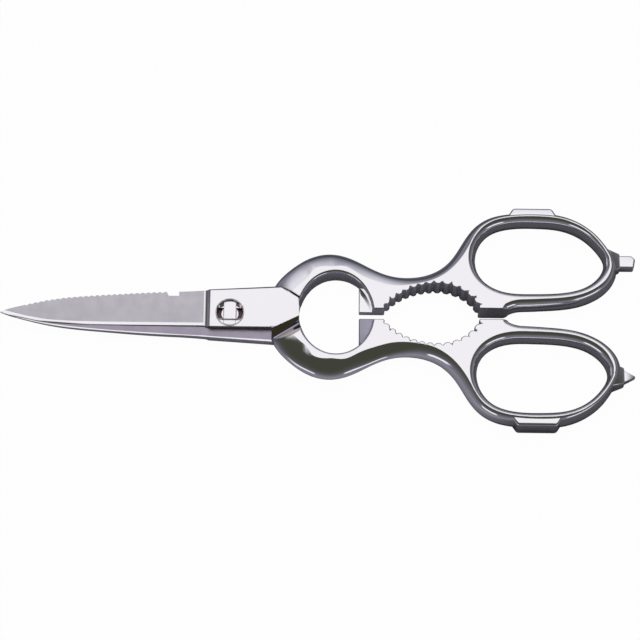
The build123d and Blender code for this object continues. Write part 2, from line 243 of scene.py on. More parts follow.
finish = {
    "polishedColour": (0.92, 0.91, 0.93), "polishedRough": 0.07,
    "satinColour": (0.80, 0.78, 0.84), "satinRough": 0.36,
    "lapShadeColour": (0.43, 0.39, 0.47),        # painted shade between the blades, on the faces where they slide on each other
    "recessShadeColour": (0.13, 0.08, 0.08),     # painted shade, deep round the stud's neck
    # painted reflection: brown tint of the facet beside the seam
    "facetReflectionTint": (0.54, 0.43, 0.41),
    # painted shade: the front cap lip is darker than the rear one
    "lipShadeColour": (0.40, 0.39, 0.46),
    "hollowShadeColour": (0.42, 0.44, 0.50),     # painted shade on the handle steel in the hollow beside the seam, and on the blade's shoulder
    "edgeRadius": 0.00018, "edgeSamples": 6,    # eased edges, in metres
    "studEdge": 0.00042, "studRough": 0.112,
    "waves": 350.0, "waveDetail": 6, "spread": 0.25,    # how the roughness varies over a surface
    "scratch": 0.35, "scratchStretch": (2500, 60, 60), "scratchWaves": 4.0, "scratchDetail": 4,
    "scratchDeep": 0.00003,
}


def steel(name, colour, rough, scratch=0.0, edge=finish["edgeRadius"]):
    f = finish
    mat = bpy.data.materials.new(name)
    mat.use_nodes = True
    nt = mat.node_tree
    shader = nt.nodes["Principled BSDF"]
    shader.inputs["Base Color"].default_value = (*colour, 1)
    shader.inputs["Metallic"].default_value = 1.0
    place = nt.nodes.new("ShaderNodeTexCoord").outputs["Object"]
    noise = nt.nodes.new("ShaderNodeTexNoise")
    noise.inputs["Scale"].default_value = f["waves"]
    noise.inputs["Detail"].default_value = f["waveDetail"]
    link(nt, place, noise.inputs["Vector"])
    smooth, coarse = rough * (1 - f["spread"]), rough * (1 + f["spread"])
    link(nt, mapRange(nt, noise.outputs[0], 0, 1, smooth, coarse, soft=False), shader.inputs["Roughness"])
    eased = nt.nodes.new("ShaderNodeBevel")
    eased.samples = f["edgeSamples"]
    eased.inputs["Radius"].default_value = edge
    link(nt, eased.outputs[0], shader.inputs["Normal"])
    if scratch:
        stretch = nt.nodes.new("ShaderNodeMapping")
        stretch.inputs["Scale"].default_value = f["scratchStretch"]
        lines = nt.nodes.new("ShaderNodeTexNoise")
        lines.inputs["Scale"].default_value = f["scratchWaves"]
        lines.inputs["Detail"].default_value = f["scratchDetail"]
        bump = nt.nodes.new("ShaderNodeBump")
        bump.inputs["Strength"].default_value = scratch
        bump.inputs["Distance"].default_value = f["scratchDeep"]
        link(nt, place, stretch.inputs["Vector"])
        link(nt, stretch.outputs[0], lines.inputs["Vector"])
        link(nt, lines.outputs[0], bump.inputs["Height"])
        link(nt, eased.outputs[0], bump.inputs["Normal"])
        link(nt, bump.outputs[0], shader.inputs["Normal"])
    return mat


# millimetres from the pivot, y across, z from the plane where the halves meet
blade = {
    "reach": 73.5, "grindEnd": 8.4, "edgeReach": 3.95, "backReach": 7.6,
    "edgeBand": 1.0,        # bright band along the cutting edge
    "backBand": 0.45,       # bright line along the other blade's back
    "backSpread": 0.0636,   # the back leans out this much per millimetre towards the handle
    "edgeCurve": [(0, 1.0), (0.40, 1.0), (0.60, 0.985), (0.75, 0.90), (0.85, 0.67), (0.925, 0.38),
                  (1.0, 0.0)],
    "backCurve": [(0, 1.0), (0.114, 1.0), (0.30, 0.92), (0.565, 0.765), (0.785, 0.54), (0.915, 0.26),
                  (1.0, 0.0)],
    "curveHead": 1.1,       # room above 1 that the curves keep
    # where the painted shade round the stud's neck lies
    "recess": 4.3, "recessLow": -1.1,
    "facetLine": ((15.1, -4.24), (21.8, -1.1)), "facetStart": 12.9, "facetDrop": 0.38,
    "facetMargin": 0.1,
    "plateHeight": 3.5, "plateFall": 0.14167, "fallStart": -7.35,
    # section of the bead round the recess: radius, and height above the plate
    "bead": [(4.22, -0.25), (4.22, 0.03), (4.32, 0.12), (4.46, 0.12), (4.58, 0.02), (4.58, -0.25)],
    "beadSteps": 72,
    # how far a face is turned outwards, from 1 for flat to -1 for the lap face
    "satinFacing": 0.97, "lapFacing": -0.999, "shoulderFacing": 0.5,
    "facetFacing": (0.935, 0.03),   # and the spread that still counts as facet
    "weld": 1e-7, "cutWeld": 1e-8,
}


def bladeSteel(name, upward):
    # ground faces are satin, the plate and the narrow bands along the edges are polished
    b = blade
    mat = steel(name, finish["satinColour"], finish["satinRough"], scratch=finish["scratch"])
    nt = mat.node_tree
    shader = nt.nodes["Principled BSDF"]
    where = nt.nodes.new("ShaderNodeTexCoord")
    place, facing = axes(nt, where.outputs["Object"]), axes(nt, where.outputs["Normal"])

    def maths(kind, *values):
        return sums(nt, kind, *values)

    def curve(points, value, top):
        head = b["curveHead"]
        node = nt.nodes.new("ShaderNodeFloatCurve")
        line = node.mapping.curves[0]
        line.points[0].location = (points[0][0], points[0][1] / head)
        line.points[1].location = (points[-1][0], 0)
        for x, y in points[1:-1]:
            line.points.new(x, y / head)
        node.mapping.update()
        link(nt, value, node.inputs["Value"])
        return maths("MULTIPLY", node.outputs[0], top * head / 1000)

    along = maths("MULTIPLY", maths("SUBTRACT", pivot.x, place["X"]), 1000 / b["reach"])
    onGrind = maths("GREATER_THAN", along, b["grindEnd"] / b["reach"])
    outer = maths("MULTIPLY", facing["Z"], 1.0 if upward else -1.0)
    top = maths("MULTIPLY", onGrind, maths("GREATER_THAN", outer, b["satinFacing"]))
    lap = maths("LESS_THAN", outer, b["lapFacing"])
    if upward:
        cut = maths("SUBTRACT", curve(b["edgeCurve"], along, b["edgeReach"]), b["edgeBand"] / 1000)
        top = maths("MULTIPLY", top, maths("GREATER_THAN", maths("ADD", place["Y"], cut), 0.0))
    else:
        back = maths("SUBTRACT", curve(b["backCurve"], along, b["backReach"]), b["backBand"] / 1000)
        behind = maths("MAXIMUM", maths("SUBTRACT", b["grindEnd"] / b["reach"], along), 0.0)
        back = maths("ADD", back, maths("MULTIPLY", behind, b["reach"] * b["backSpread"] / 1000))
        lap = maths("MULTIPLY", lap, maths("GREATER_THAN", maths("ADD", place["Y"], back), 0.0))
    satin = maths("MAXIMUM", top, lap)
    rough = shader.inputs["Roughness"].links[0].from_socket
    link(nt, mixed(nt, satin, finish["polishedRough"], rough, "FLOAT"), shader.inputs["Roughness"])
    bump = shader.inputs["Normal"].links[0].from_node
    link(nt, maths("MULTIPLY", satin, finish["scratch"]), bump.inputs["Strength"])
    # painted shade: the lap faces are darker than the other satin faces
    ground = mixed(nt, lap, (*finish["satinColour"], 1), (*finish["lapShadeColour"], 1))
    tone = mixed(nt, satin, (*finish["polishedColour"], 1), ground)
    x = maths("MULTIPLY", maths("SUBTRACT", place["X"], pivot.x), 1000)
    y = maths("MULTIPLY", place["Y"], 1000)
    if upward:
        (x0, y0), (x1, y1) = b["facetLine"]
        size = math.hypot(x1 - x0, y1 - y0)
        beyond = maths("ADD", maths("MULTIPLY", maths("SUBTRACT", x, x0), (y1 - y0) / size),
                       maths("MULTIPLY", maths("SUBTRACT", y, y0), (x0 - x1) / size))
        nearer = maths("LESS_THAN", y, y0 - b["facetMargin"])
        past = maths("MULTIPLY", maths("MAXIMUM", maths("GREATER_THAN", beyond, 0.0), nearer),
                     maths("GREATER_THAN", x, b["facetStart"]))
        shoulder = maths("MULTIPLY", maths("GREATER_THAN", outer, b["shoulderFacing"]), past)
        facet = maths("MULTIPLY", shoulder, maths("COMPARE", outer, *b["facetFacing"]))
        # painted shade on the shoulder beside the seam
        tone = mixed(nt, shoulder, tone, (*finish["hollowShadeColour"], 1))
        # painted reflection: the facet takes a brown tint
        tone = mixed(nt, facet, tone, (*finish["facetReflectionTint"], 1))
    else:
        # painted shade in the recess round the stud's neck
        away = maths("SQRT", maths("ADD", maths("MULTIPLY", x, x), maths("MULTIPLY", y, y)))
        deep = maths("MULTIPLY", maths("LESS_THAN", away, b["recess"]),
                     maths("GREATER_THAN", y, b["recessLow"]))
        tone = mixed(nt, deep, tone, (*finish["recessShadeColour"], 1))
    link(nt, tone, shader.inputs["Base Color"])
    return mat


polished = steel("polishedSteel", finish["polishedColour"], finish["polishedRough"])
lipShadeSteel = steel("lipShadeSteel", finish["lipShadeColour"], finish["satinRough"])
studSteel = steel("studSteel", finish["polishedColour"], finish["studRough"], edge=finish["studEdge"])
frontSteel, rearSteel = bladeSteel("frontBladeSteel", True), bladeSteel("rearBladeSteel", False)
for name, mat in (("front_blade", frontSteel), ("rear_blade", rearSteel), ("pivot_stud", studSteel)):
    for held in nodes[name].material_slots:
        held.material = mat


def plateTop(y):
    # height of the polished plate above the plane where the halves meet
    return blade["plateHeight"] - blade["plateFall"] * (y - blade["fallStart"])


def makePiece(name, bm, mat):
    mesh = bpy.data.meshes.new(name)
    bm.to_mesh(mesh)
    bm.free()
    mesh.materials.append(mat)
    obj = bpy.data.objects.new(name, mesh)
    bpy.context.collection.objects.link(obj)
    return obj


def bladeSkin(name, node, mat, mirrorY, mirrorZ, body):
    # the blade with the wide facet ground beside the seam
    sy, sz = (-1 if mirrorY else 1), (-1 if mirrorZ else 1)
    bm = bmesh.new()
    bm.from_mesh(node.data)
    bm.transform(node.matrix_world)
    bmesh.ops.remove_doubles(bm, verts=bm.verts, dist=blade["weld"])
    (x0, y0), (x1, y1) = [(x, -y) for x, y in blade["facetLine"]]
    along = Vector((x1 - x0, y1 - y0, plateTop(y1) - plateTop(y0)))
    fall = Vector((y0 - y1, x1 - x0, 0)).normalized() - Vector((0, 0, blade["facetDrop"]))
    up = along.cross(fall).normalized()
    up = up if up.z > 0 else -up
    place = (pivot.x + x0 / 1000, sy * y0 / 1000, pivot.z + sz * plateTop(y0) / 1000)
    whole = list(bm.verts) + list(bm.edges) + list(bm.faces)
    cut = bmesh.ops.bisect_plane(bm, geom=whole, dist=blade["cutWeld"], plane_co=place,
                                 plane_no=(up.x, sy * up.y, sz * up.z), clear_outer=True)
    rim = [e for e in cut["geom_cut"] if isinstance(e, bmesh.types.BMEdge) and len(e.link_faces) == 1]
    bmesh.ops.contextual_create(bm, geom=rim)
    bmesh.ops.recalc_face_normals(bm, faces=bm.faces)
    bmesh.ops.triangulate(bm, faces=[f for f in bm.faces if len(f.verts) > 4])
    for f in bm.faces:
        f.smooth = False
    obj = makePiece(name, bm, mat)
    if "custom_normal" in obj.data.attributes:
        obj.data.attributes.remove(obj.data.attributes["custom_normal"])
    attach(obj, body)
    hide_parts(node.name)


def recessBead(count):
    # fine bead round the recess of the stud
    bm = bmesh.new()
    rings = []
    for i in range(count):
        turn = 2 * math.pi * i / count
        ring = []
        for r, rise in blade["bead"]:
            x, y = r * math.cos(turn), r * math.sin(turn)
            z = pivot.z + (plateTop(-y) + rise) / 1000
            ring.append(bm.verts.new((pivot.x + x / 1000, y / 1000, z)))
        rings.append(ring)
    for ring, after in zip(rings, rings[1:] + rings[:1]):
        for j in range(len(ring)):
            k = (j + 1) % len(ring)
            bm.faces.new((ring[j], after[j], after[k], ring[k]))
    bmesh.ops.recalc_face_normals(bm, faces=bm.faces)
    for f in bm.faces:
        f.smooth = True
    obj = makePiece("recessBead", bm, polished)
    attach(obj, "front_half")


bladeSkin("frontBladeSkin", nodes["front_blade"], frontSteel, True, False, "front_half")
bladeSkin("rearBladeSkin", nodes["rear_blade"], rearSteel, False, True, "rear_half")
recessBead(blade["beadSteps"])
print("blades made")

# the same millimetres as the blades
handle = {
    "reach": 124.2, "half": 37.1, "gap": 1.8,
    "seamStart": (13.4, 8.5), "seamEnd": (22.1, 2.7),
    "outer": [(0.155, 0.437), (0.207, 0.552), (0.258, 0.588), (0.31, 0.548), (0.363, 0.457),
              (0.413, 0.389), (0.457, 0.371), (0.502, 0.391), (0.541, 0.452), (0.571, 0.549),
              (0.601, 0.712), (0.632, 0.857), (0.672, 0.948), (0.727, 0.99), (0.79, 1.0),
              (0.855, 0.978), (0.905, 0.911), (0.95, 0.79), (0.985, 0.62)],
    "inner": [(0.988, 0.335), (0.945, 0.198), (0.89, 0.123), (0.82, 0.092), (0.765, 0.081), (0.73, 0.066)],
    "farEnd": (124.2, 17.85),
    "hidden": [(87.9, 0.9), (84.3, -1.8), (66.4, -5.4), (33.8, -5.4), (13.4, -1.8)],
    # hollow beneath, where the other half's blade lies
    "pocket": [(8.0, 9.25), (16.575, 9.25), (22.25, 5.375), (22.25, -4.0), (8.0, -4.0)], "pocketFloor": 0.05,
    "holeMiddle": (99.3, 20.5), "holeSize": (20.7, 12.2),
    "hole": [(-1.0, -0.07), (-0.77, 0.76), (-0.41, 0.98), (0.0, 1.0), (0.36, 0.94), (0.65, 0.73),
             (0.88, 0.36), (1.0, -0.08), (0.79, -0.69), (0.42, -0.94), (-0.12, -1.0), (-0.6, -0.93),
             (-0.89, -0.61)],
    "ringMiddle": (33.8, 0.0), "ringSize": (11.7, 14.0),
    "jawPeak": (66.4, 10.3), "jawLeft": 49.1, "jawRight": 79.7, "jawBelow": -9.0,
    "gapLine": (22.0, 92.0), "seamBefore": 0.3,
    "teethFront": 8, "teethRear": 6, "toothSide": 1.1,
    # half thickness along the shears
    "heightPlaces": [10.0, 20.0, 33.8, 47.3, 66.4, 126.0],
    "heights": [3.5, 3.62, 3.7, 2.8, 3.9, 3.9],
    # width of the outer slope, and the half ellipse it is part of
    "slopePlaces": [13.0, 19.4, 25.0, 32.5, 39.7, 44.0, 50.4, 61.4, 72.0, 80.0, 126.0],
    "slopes": [6.6, 6.9, 5.3, 5.8, 4.5, 4.7, 4.3, 3.5, 3.0, 2.3, 2.1],
    "slopeEllipses": [60, 60, 18, 30, 14, 16, 14, 10, 7, 3.2, 2.1],
    "slotSlope": 2.6, "slotStart": 84.0, "holeSlope": 2.5, "holeEllipse": 2.8,
    "softEdge": 1.1, "toothEdge": 0.35, "gapEdge": 0.3,
    "neckHeight": 1.1, "scoop": 3.4, "climbShare": 0.4, "climbPower": 1.7,
    # spacing of the points along the outlines, across the slopes and on the flats
    "step": 0.4, "jawStep": 0.35, "rows": 8, "crease": 0.17,
    "grid": 1.0, "gridStart": (12, 2.4), "gridEnd": (124, 37), "gridClear": 0.45,
    "ringRows": [0.06, 0.23, 0.5, 1.0], "wallRows": [0.2, 1.0], "seamRows": [0.12, 0.3, 0.5, 0.7, 0.85, 1.0],
    "edgeClear": 0.35, "edgeSlack": 0.02, "cell": 0.16, "fineRow": 0.25, "fineClear": 0.03,
    "look": 0.12,           # distance to each side for the directions of the faces
    "onLine": 0.03, "onFineLine": 0.02, "onContour": 0.004, "leastArea": 1e-7, "weld": 2e-7,
    "thin": 0.4,            # lower places on the contour close up
    "wallTurn": 0.82,       # walls that turn less than this cosine are smoothed together
}


def cubicLoop(points, step, parts=60):
    # smooth closed curve through the points, sampled evenly
    p = np.array(points, float)
    n = len(p)
    h = np.linalg.norm(np.roll(p, -1, 0) - p, axis=1)
    m = np.zeros((n, n))
    rhs = np.zeros((n, 2))
    for i in range(n):
        before, after = h[i - 1], h[i]
        m[i, i - 1] += before
        m[i, i] += 2 * (before + after)
        m[i, (i + 1) % n] += after
        rhs[i] = 6 * ((p[(i + 1) % n] - p[i]) / after - (p[i] - p[i - 1]) / before)
    bend = np.linalg.solve(m, rhs)
    fine = []
    for i in range(n):
        t = np.linspace(0, h[i], parts, endpoint=False)[:, None]
        j = (i + 1) % n
        fine.append(bend[i] * (h[i] - t) ** 3 / (6 * h[i]) + bend[j] * t ** 3 / (6 * h[i])
                    + (p[i] / h[i] - bend[i] * h[i] / 6) * (h[i] - t)
                    + (p[j] / h[i] - bend[j] * h[i] / 6) * t)
    return evenLoop(np.vstack(fine), step)


def evenly(line, step):
    # places along a line at nearly equal steps
    run = np.r_[0, np.cumsum(np.linalg.norm(np.diff(line, axis=0), axis=1))]
    count = max(2, int(round(run[-1] / step)) + 1)
    at = np.linspace(0, run[-1], count)
    return np.c_[np.interp(at, run, line[:, 0]), np.interp(at, run, line[:, 1])]


def evenLoop(loop, step):
    return evenly(np.vstack([loop, loop[:1]]), step)[:-1]


def inside(points, loop, level=1e-12):
    x, y = points[:, 0][:, None], points[:, 1][:, None]
    a, b = loop, np.roll(loop, -1, 0)
    crosses = (a[:, 1] > y) != (b[:, 1] > y)
    rise = np.where(b[:, 1] == a[:, 1], level, b[:, 1] - a[:, 1])
    at = a[:, 0] + (y - a[:, 1]) / rise * (b[:, 0] - a[:, 0])
    return (np.sum(crosses & (x < at), axis=1) % 2) == 1


def distanceTo(points, starts, ends, places=False, batch=800, shortest=1e-12):
    # least distance from each point to a set of short segments, and the nearest place on them
    best = np.zeros(len(points))
    near = np.zeros((len(points), 2))
    line = ends - starts
    size = np.maximum((line ** 2).sum(1), shortest)
    for first in range(0, len(points), batch):
        p = points[first:first + batch]
        away = p[:, None] - starts[None]
        t = np.clip((away * line[None]).sum(2) / size, 0, 1)
        gap = away - t[..., None] * line[None]
        far = (gap ** 2).sum(2)
        pick = far.argmin(1)
        rows = np.arange(len(p))
        best[first:first + batch] = np.sqrt(far[rows, pick])
        near[first:first + batch] = starts[pick] + t[rows, pick][:, None] * line[pick]
    return (best, near) if places else best


def arcBetween(peak, end, parts=60):
    # arc that leaves the peak level and comes down to the end point
    run, drop = end[0] - peak[0], peak[1] - end[1]
    radius = (run ** 2 + drop ** 2) / (2 * drop)
    full = math.asin(abs(run) / radius)
    turn = np.linspace(0, full, parts)
    x = peak[0] + math.copysign(1, run) * radius * np.sin(turn)
    return np.c_[x, peak[1] - radius * (1 - np.cos(turn))]


def toothedLine(line, teeth, side, ahead=0.05, shortest=1e-6):
    # notches with square corners, set along the line
    run = np.r_[0, np.cumsum(np.linalg.norm(np.diff(line, axis=0), axis=1))]

    def onLine(at):
        return np.array([np.interp(at, run, line[:, 0]), np.interp(at, run, line[:, 1])])

    made = [line[0]]
    half = side * math.sqrt(0.5)
    for index in range(teeth):
        middle = (index + 0.5) / teeth * run[-1]
        for offset, deep in ((-half, 0), (0, half), (half, 0)):
            at = min(max(middle + offset, 0), run[-1])
            place = onLine(at)
            along = onLine(at + ahead) - place
            if np.linalg.norm(along) < shortest:
                along = line[-1] - line[-2]
            along = along / np.linalg.norm(along)
            out = np.array([-along[1], along[0]])
            out = out if out[1] > 0 else -out
            made.append(place + out * deep)
    made.append(line[-1])
    return np.array(made)


def smoothTable(x, places, values):
    # soft steps from one value to the next
    x = np.clip(x, places[0], places[-1])
    i = np.clip(np.searchsorted(places, x) - 1, 0, len(places) - 2)
    places, values = np.array(places), np.array(values)
    t = (x - places[i]) / (places[i + 1] - places[i])
    t = t * t * (3 - 2 * t)
    return values[i] + (values[i + 1] - values[i]) * t


def handleOutlines(h, ringSteps=180):
    def placed(shares, middle, size):
        return [(middle[0] + x * size[0], middle[1] + y * size[1]) for x, y in shares]

    whole = (h["reach"], h["half"])
    outer = cubicLoop([h["seamStart"]] + placed(h["outer"], (0, 0), whole) + [h["farEnd"]]
                      + placed(h["inner"], (0, 0), whole) + h["hidden"], h["step"])
    hole = cubicLoop(placed(h["hole"], h["holeMiddle"], h["holeSize"]), h["step"])
    turn = np.linspace(0, 2 * math.pi, ringSteps + 1)[:-1]
    ring = np.array(placed(zip(np.cos(turn), np.sin(turn)), h["ringMiddle"], h["ringSize"]))
    left = toothedLine(arcBetween(h["jawPeak"], (h["jawLeft"], h["gap"])), h["teethFront"], h["toothSide"])
    right = toothedLine(arcBetween(h["jawPeak"], (h["jawRight"], h["gap"])), h["teethRear"], h["toothSide"])
    jaws = np.vstack([left[::-1], right[1:], [(h["jawRight"], h["jawBelow"]), (h["jawLeft"], h["jawBelow"])]])
    return outer, hole, ring, jaws


def inHandle(points, h, outer, hole, ring, jaws, seam=True):
    start, end = np.array(h["seamStart"]), np.array(h["seamEnd"])
    line = end - start
    side = line[0] * (points[:, 1] - start[1]) - line[1] * (points[:, 0] - start[0])
    beyond = (side > 0) | (points[:, 0] > end[0]) | (not seam)
    return (inside(points, outer) & ~inside(points, hole) & ~inside(points, ring) & ~inside(points, jaws)
            & (points[:, 1] > h["gap"]) & beyond)


def segments(loop):
    return loop, np.roll(loop, -1, 0)


def triangles(points, edges, join=1e-5):
    made = delaunay([Vector(p) for p in points], edges, [], 0, join, False)
    return np.array([tuple(v) for v in made[0]]), np.array([tuple(f) for f in made[2]])


def slopeShape(near, h):
    # width of the soft slope and the half ellipse it is part of, at places on the contour
    width = smoothTable(near[:, 0], h["slopePlaces"], h["slopes"])
    ellipse = smoothTable(near[:, 0], h["slopePlaces"], h["slopeEllipses"])
    slot = (near[:, 1] < h["holeMiddle"][1]) & (near[:, 0] > h["slotStart"])
    width = np.where(slot, h["slotSlope"], width)
    return width, np.maximum(np.where(slot, h["slotSlope"], ellipse), width)


def slopeHeight(points, h, curves, within):
    # share of the full half thickness at each point, from the soft slopes round the contour and the hole
    toOuter, near = distanceTo(points, *curves["soft"], True)
    width, ellipse = slopeShape(near, h)
    toHole = distanceTo(points, *curves["hole"])
    squeeze = np.minimum(1, (toOuter + toHole) / (width + h["holeSlope"]))

    def rise(away, wide, half):
        t = np.minimum(1, away * within / (wide * squeeze))
        top = np.sqrt(1 - (1 - np.minimum(1, wide / half)) ** 2)
        return np.sqrt(np.maximum(0, 1 - (1 - t * wide / half) ** 2)) / top
    return np.minimum(rise(toOuter, width, ellipse), rise(toHole, h["holeSlope"], h["holeEllipse"]))


def handleHeights(points, h, curves, within):
    full = smoothTable(points[:, 0], h["heightPlaces"], h["heights"])
    z = full * slopeHeight(points, h, curves, within)
    for name, soft in (("ring", h["softEdge"]), ("jaws", h["toothEdge"]), ("gap", h["gapEdge"])):
        t = np.minimum(1, distanceTo(points, *curves[name]) * within / soft)
        z = np.minimum(z, full - soft * (1 - np.sqrt(np.maximum(0, 1 - (1 - t) ** 2))))
    start, end = np.array(h["seamStart"]), np.array(h["seamEnd"])
    line = (end - start) / np.linalg.norm(end - start)
    side = line[0] * (points[:, 1] - start[1]) - line[1] * (points[:, 0] - start[0])
    t = np.clip(side / h["scoop"], 0, 1)
    climb = h["climbShare"] * t ** h["climbPower"] + (1 - h["climbShare"]) * t * t * (3 - 2 * t)
    top = np.minimum(z, h["neckHeight"] + (full - h["neckHeight"]) * climb)
    return top, -z


def handleNormals(points, h, curves, tests):
    # directions of the upper and lower faces, from heights a little way to each side
    away = h["look"]
    found = []
    for step in ((away, 0), (-away, 0), (0, away), (0, -away)):
        moved = points + np.array(step)
        found.append(handleHeights(moved, h, curves, inHandle(moved, *tests, seam=False).astype(float)))
    made = []
    for side, up in ((0, 1), (1, -1)):
        dx = (found[0][side] - found[1][side]) / (2 * away)
        dy = (found[2][side] - found[3][side]) / (2 * away)
        n = np.c_[-dx * up, -dy * up, np.full(len(points), float(up))]
        made.append(n / np.linalg.norm(n, axis=1)[:, None])
    return made


def handleSheet(h):
    outer, hole, ring, jaws = handleOutlines(h)
    tests = (h, outer, hole, ring, jaws)
    start, end = np.array(h["seamStart"]), np.array(h["seamEnd"])
    pocket = np.array(h["pocket"])
    pocketLoop = evenLoop(pocket, h["step"])
    gapLine = evenly(np.array([(x, h["gap"]) for x in h["gapLine"]]), h["step"])
    seam = evenly(np.array([start - (end - start) * h["seamBefore"], end]), h["step"])

    def chain(loop, closed=True):
        n = len(loop)
        return [(i, (i + 1) % n) for i in range(n if closed else n - 1)]

    # first pass: the outline alone
    points, edges = [], []
    for loop, closed in ((outer, True), (hole, True), (ring, True), (jaws, True), (gapLine, False),
                         (seam, False), (pocketLoop, True)):
        first = len(points)
        points.extend(map(tuple, loop))
        edges.extend((a + first, b + first) for a, b in chain(loop, closed))
    verts, faces = triangles(points, edges)
    faces = faces[inHandle(verts[faces].mean(1), *tests)]
    count = {}
    for f in faces:
        for a, b in ((f[0], f[1]), (f[1], f[2]), (f[2], f[0])):
            key = (min(a, b), max(a, b))
            count[key] = count.get(key, 0) + 1
    rim = np.array([k for k, v in count.items() if v == 1])
    mid = (verts[rim[:, 0]] + verts[rim[:, 1]]) / 2
    onOuter, onHole, onRing = [distanceTo(mid, *segments(loop)) < h["onLine"] for loop in (outer, hole, ring)]
    onJaws = distanceTo(mid, *segments(jaws)) < h["onFineLine"]
    onSeam = distanceTo(mid, seam[:-1], seam[1:]) < h["onFineLine"]
    kinds = {"soft": onOuter, "hole": onHole & ~onOuter, "ring": onRing & ~onOuter, "jaws": onJaws & ~onOuter}
    kinds["gap"] = ~(onOuter | onHole | onRing | onJaws | onSeam)
    curves = {name: (verts[rim[pick, 0]], verts[rim[pick, 1]]) for name, pick in kinds.items()}
    rimStarts, rimEnds = verts[rim[:, 0]], verts[rim[:, 1]]

    # rows of points that follow each kind of edge inwards
    rows = []

    def addRows(loop, offsets, shortest=1e-9):
        before, after = np.roll(loop, 1, 0), np.roll(loop, -1, 0)
        along = after - before
        along /= np.maximum(np.linalg.norm(along, axis=1), shortest)[:, None]
        normal = np.c_[-along[:, 1], along[:, 0]]
        for sign in (1, -1):
            for j in range(offsets.shape[1]):
                rows.append((loop + sign * normal * offsets[:, j:j + 1], offsets[:, j]))

    def slopeOffsets(width, ellipse):
        # the crease first, so that its points are never left out
        top = np.arccos(np.clip(1 - width / ellipse, -1, 1))
        turn = top[:, None] * np.arange(1, h["rows"])[None] / h["rows"]
        crease = width[:, None] + h["crease"] * np.array([[0, -1, 1]])
        return np.hstack([crease, ellipse[:, None] * (1 - np.cos(turn))])

    addRows(outer, slopeOffsets(*slopeShape(outer, h)))
    holeWidth = np.full(len(hole), h["holeSlope"])
    addRows(hole, slopeOffsets(holeWidth, np.full(len(hole), h["holeEllipse"])))
    for loop, edge, shares in ((evenLoop(ring, h["step"]), "softEdge", "ringRows"),
                               (evenLoop(jaws, h["jawStep"]), "toothEdge", "wallRows"),
                               (gapLine, "gapEdge", "wallRows"), (seam, "scoop", "seamRows")):
        addRows(loop, np.tile(h[edge] * np.array([h[shares]]), (len(loop), 1)))
    spans = zip(h["gridStart"], h["gridEnd"])
    gx, gy = np.meshgrid(*[np.arange(low, high, h["grid"]) for low, high in spans])
    rows.append((np.c_[gx.ravel(), gy.ravel()], np.full(gx.size, h["grid"] * h["gridClear"])))
    taken, cell = {}, h["cell"]
    kept = []
    for place, away in rows:
        good = inHandle(place, *tests)
        place, away = place[good], away[good]
        real = distanceTo(place, rimStarts, rimEnds)
        clear = real > np.minimum(away, h["edgeClear"]) - h["edgeSlack"]
        for p, d in zip(place[clear], real[clear]):
            reach = h["fineClear"] if d < h["fineRow"] else cell
            key = (int(p[0] / cell), int(p[1] / cell))
            near = [q for i in (-1, 0, 1) for j in (-1, 0, 1)
                    for q in taken.get((key[0] + i, key[1] + j), ())]
            if all((p[0] - q[0]) ** 2 + (p[1] - q[1]) ** 2 > reach ** 2 for q in near):
                taken.setdefault(key, []).append(p)
                kept.append(tuple(p))
    allPoints = [tuple(v) for v in verts] + kept
    used = set(rim.ravel().tolist())
    first = len(allPoints)
    allPoints.extend(map(tuple, pocketLoop))
    fixed = [tuple(int(v) for v in e) for e in rim] + [(a + first, b + first) for a, b in chain(pocketLoop)]
    # points of the first pass that lie outside the handle are left out
    order = sorted(used) + list(range(len(verts), len(allPoints)))
    place = {old: new for new, old in enumerate(order)}
    verts, faces = triangles([allPoints[i] for i in order], [(place[a], place[b]) for a, b in fixed])
    centre = verts[faces].mean(1)
    good = inHandle(centre, *tests)
    faces, centre = faces[good], centre[good]
    a, b, c = [verts[faces[:, i]] for i in range(3)]
    real = np.abs(np.cross(b - a, c - a)) > h["leastArea"]
    faces, centre = faces[real], centre[real]
    return verts, faces, inside(centre, pocket), curves, tests


# kinds of face on a handle
flatFace, upperFace, lowerFace, wallFace = 0, 1, 2, 3


def smoothNormals(mesh, faceNormals, wallTurn):
    # upper and lower faces take the calculated directions, walls are smoothed along their run
    sheet = np.zeros(len(mesh.vertices), int)
    mesh.attributes["sheet"].data.foreach_get("value", sheet)
    kinds = np.zeros(len(mesh.polygons), int)
    mesh.attributes["kind"].data.foreach_get("value", kinds)
    around = {}
    for poly, kind in zip(mesh.polygons, kinds):
        if kind == wallFace:
            for v in poly.vertices:
                around.setdefault(v, []).append(poly.normal.copy())
    loops = np.zeros((len(mesh.loops), 3))
    for poly, kind in zip(mesh.polygons, kinds):
        for loop, v in zip(poly.loop_indices, poly.vertices):
            if kind in faceNormals:
                loops[loop] = faceNormals[kind][sheet[v]]
            elif kind == wallFace:
                total = Vector((0, 0, 0))
                for n in around[v]:
                    if n.dot(poly.normal) > wallTurn:
                        total += n
                loops[loop] = total.normalized()
            else:
                loops[loop] = poly.normal
    mesh.normals_split_custom_set(loops.tolist())


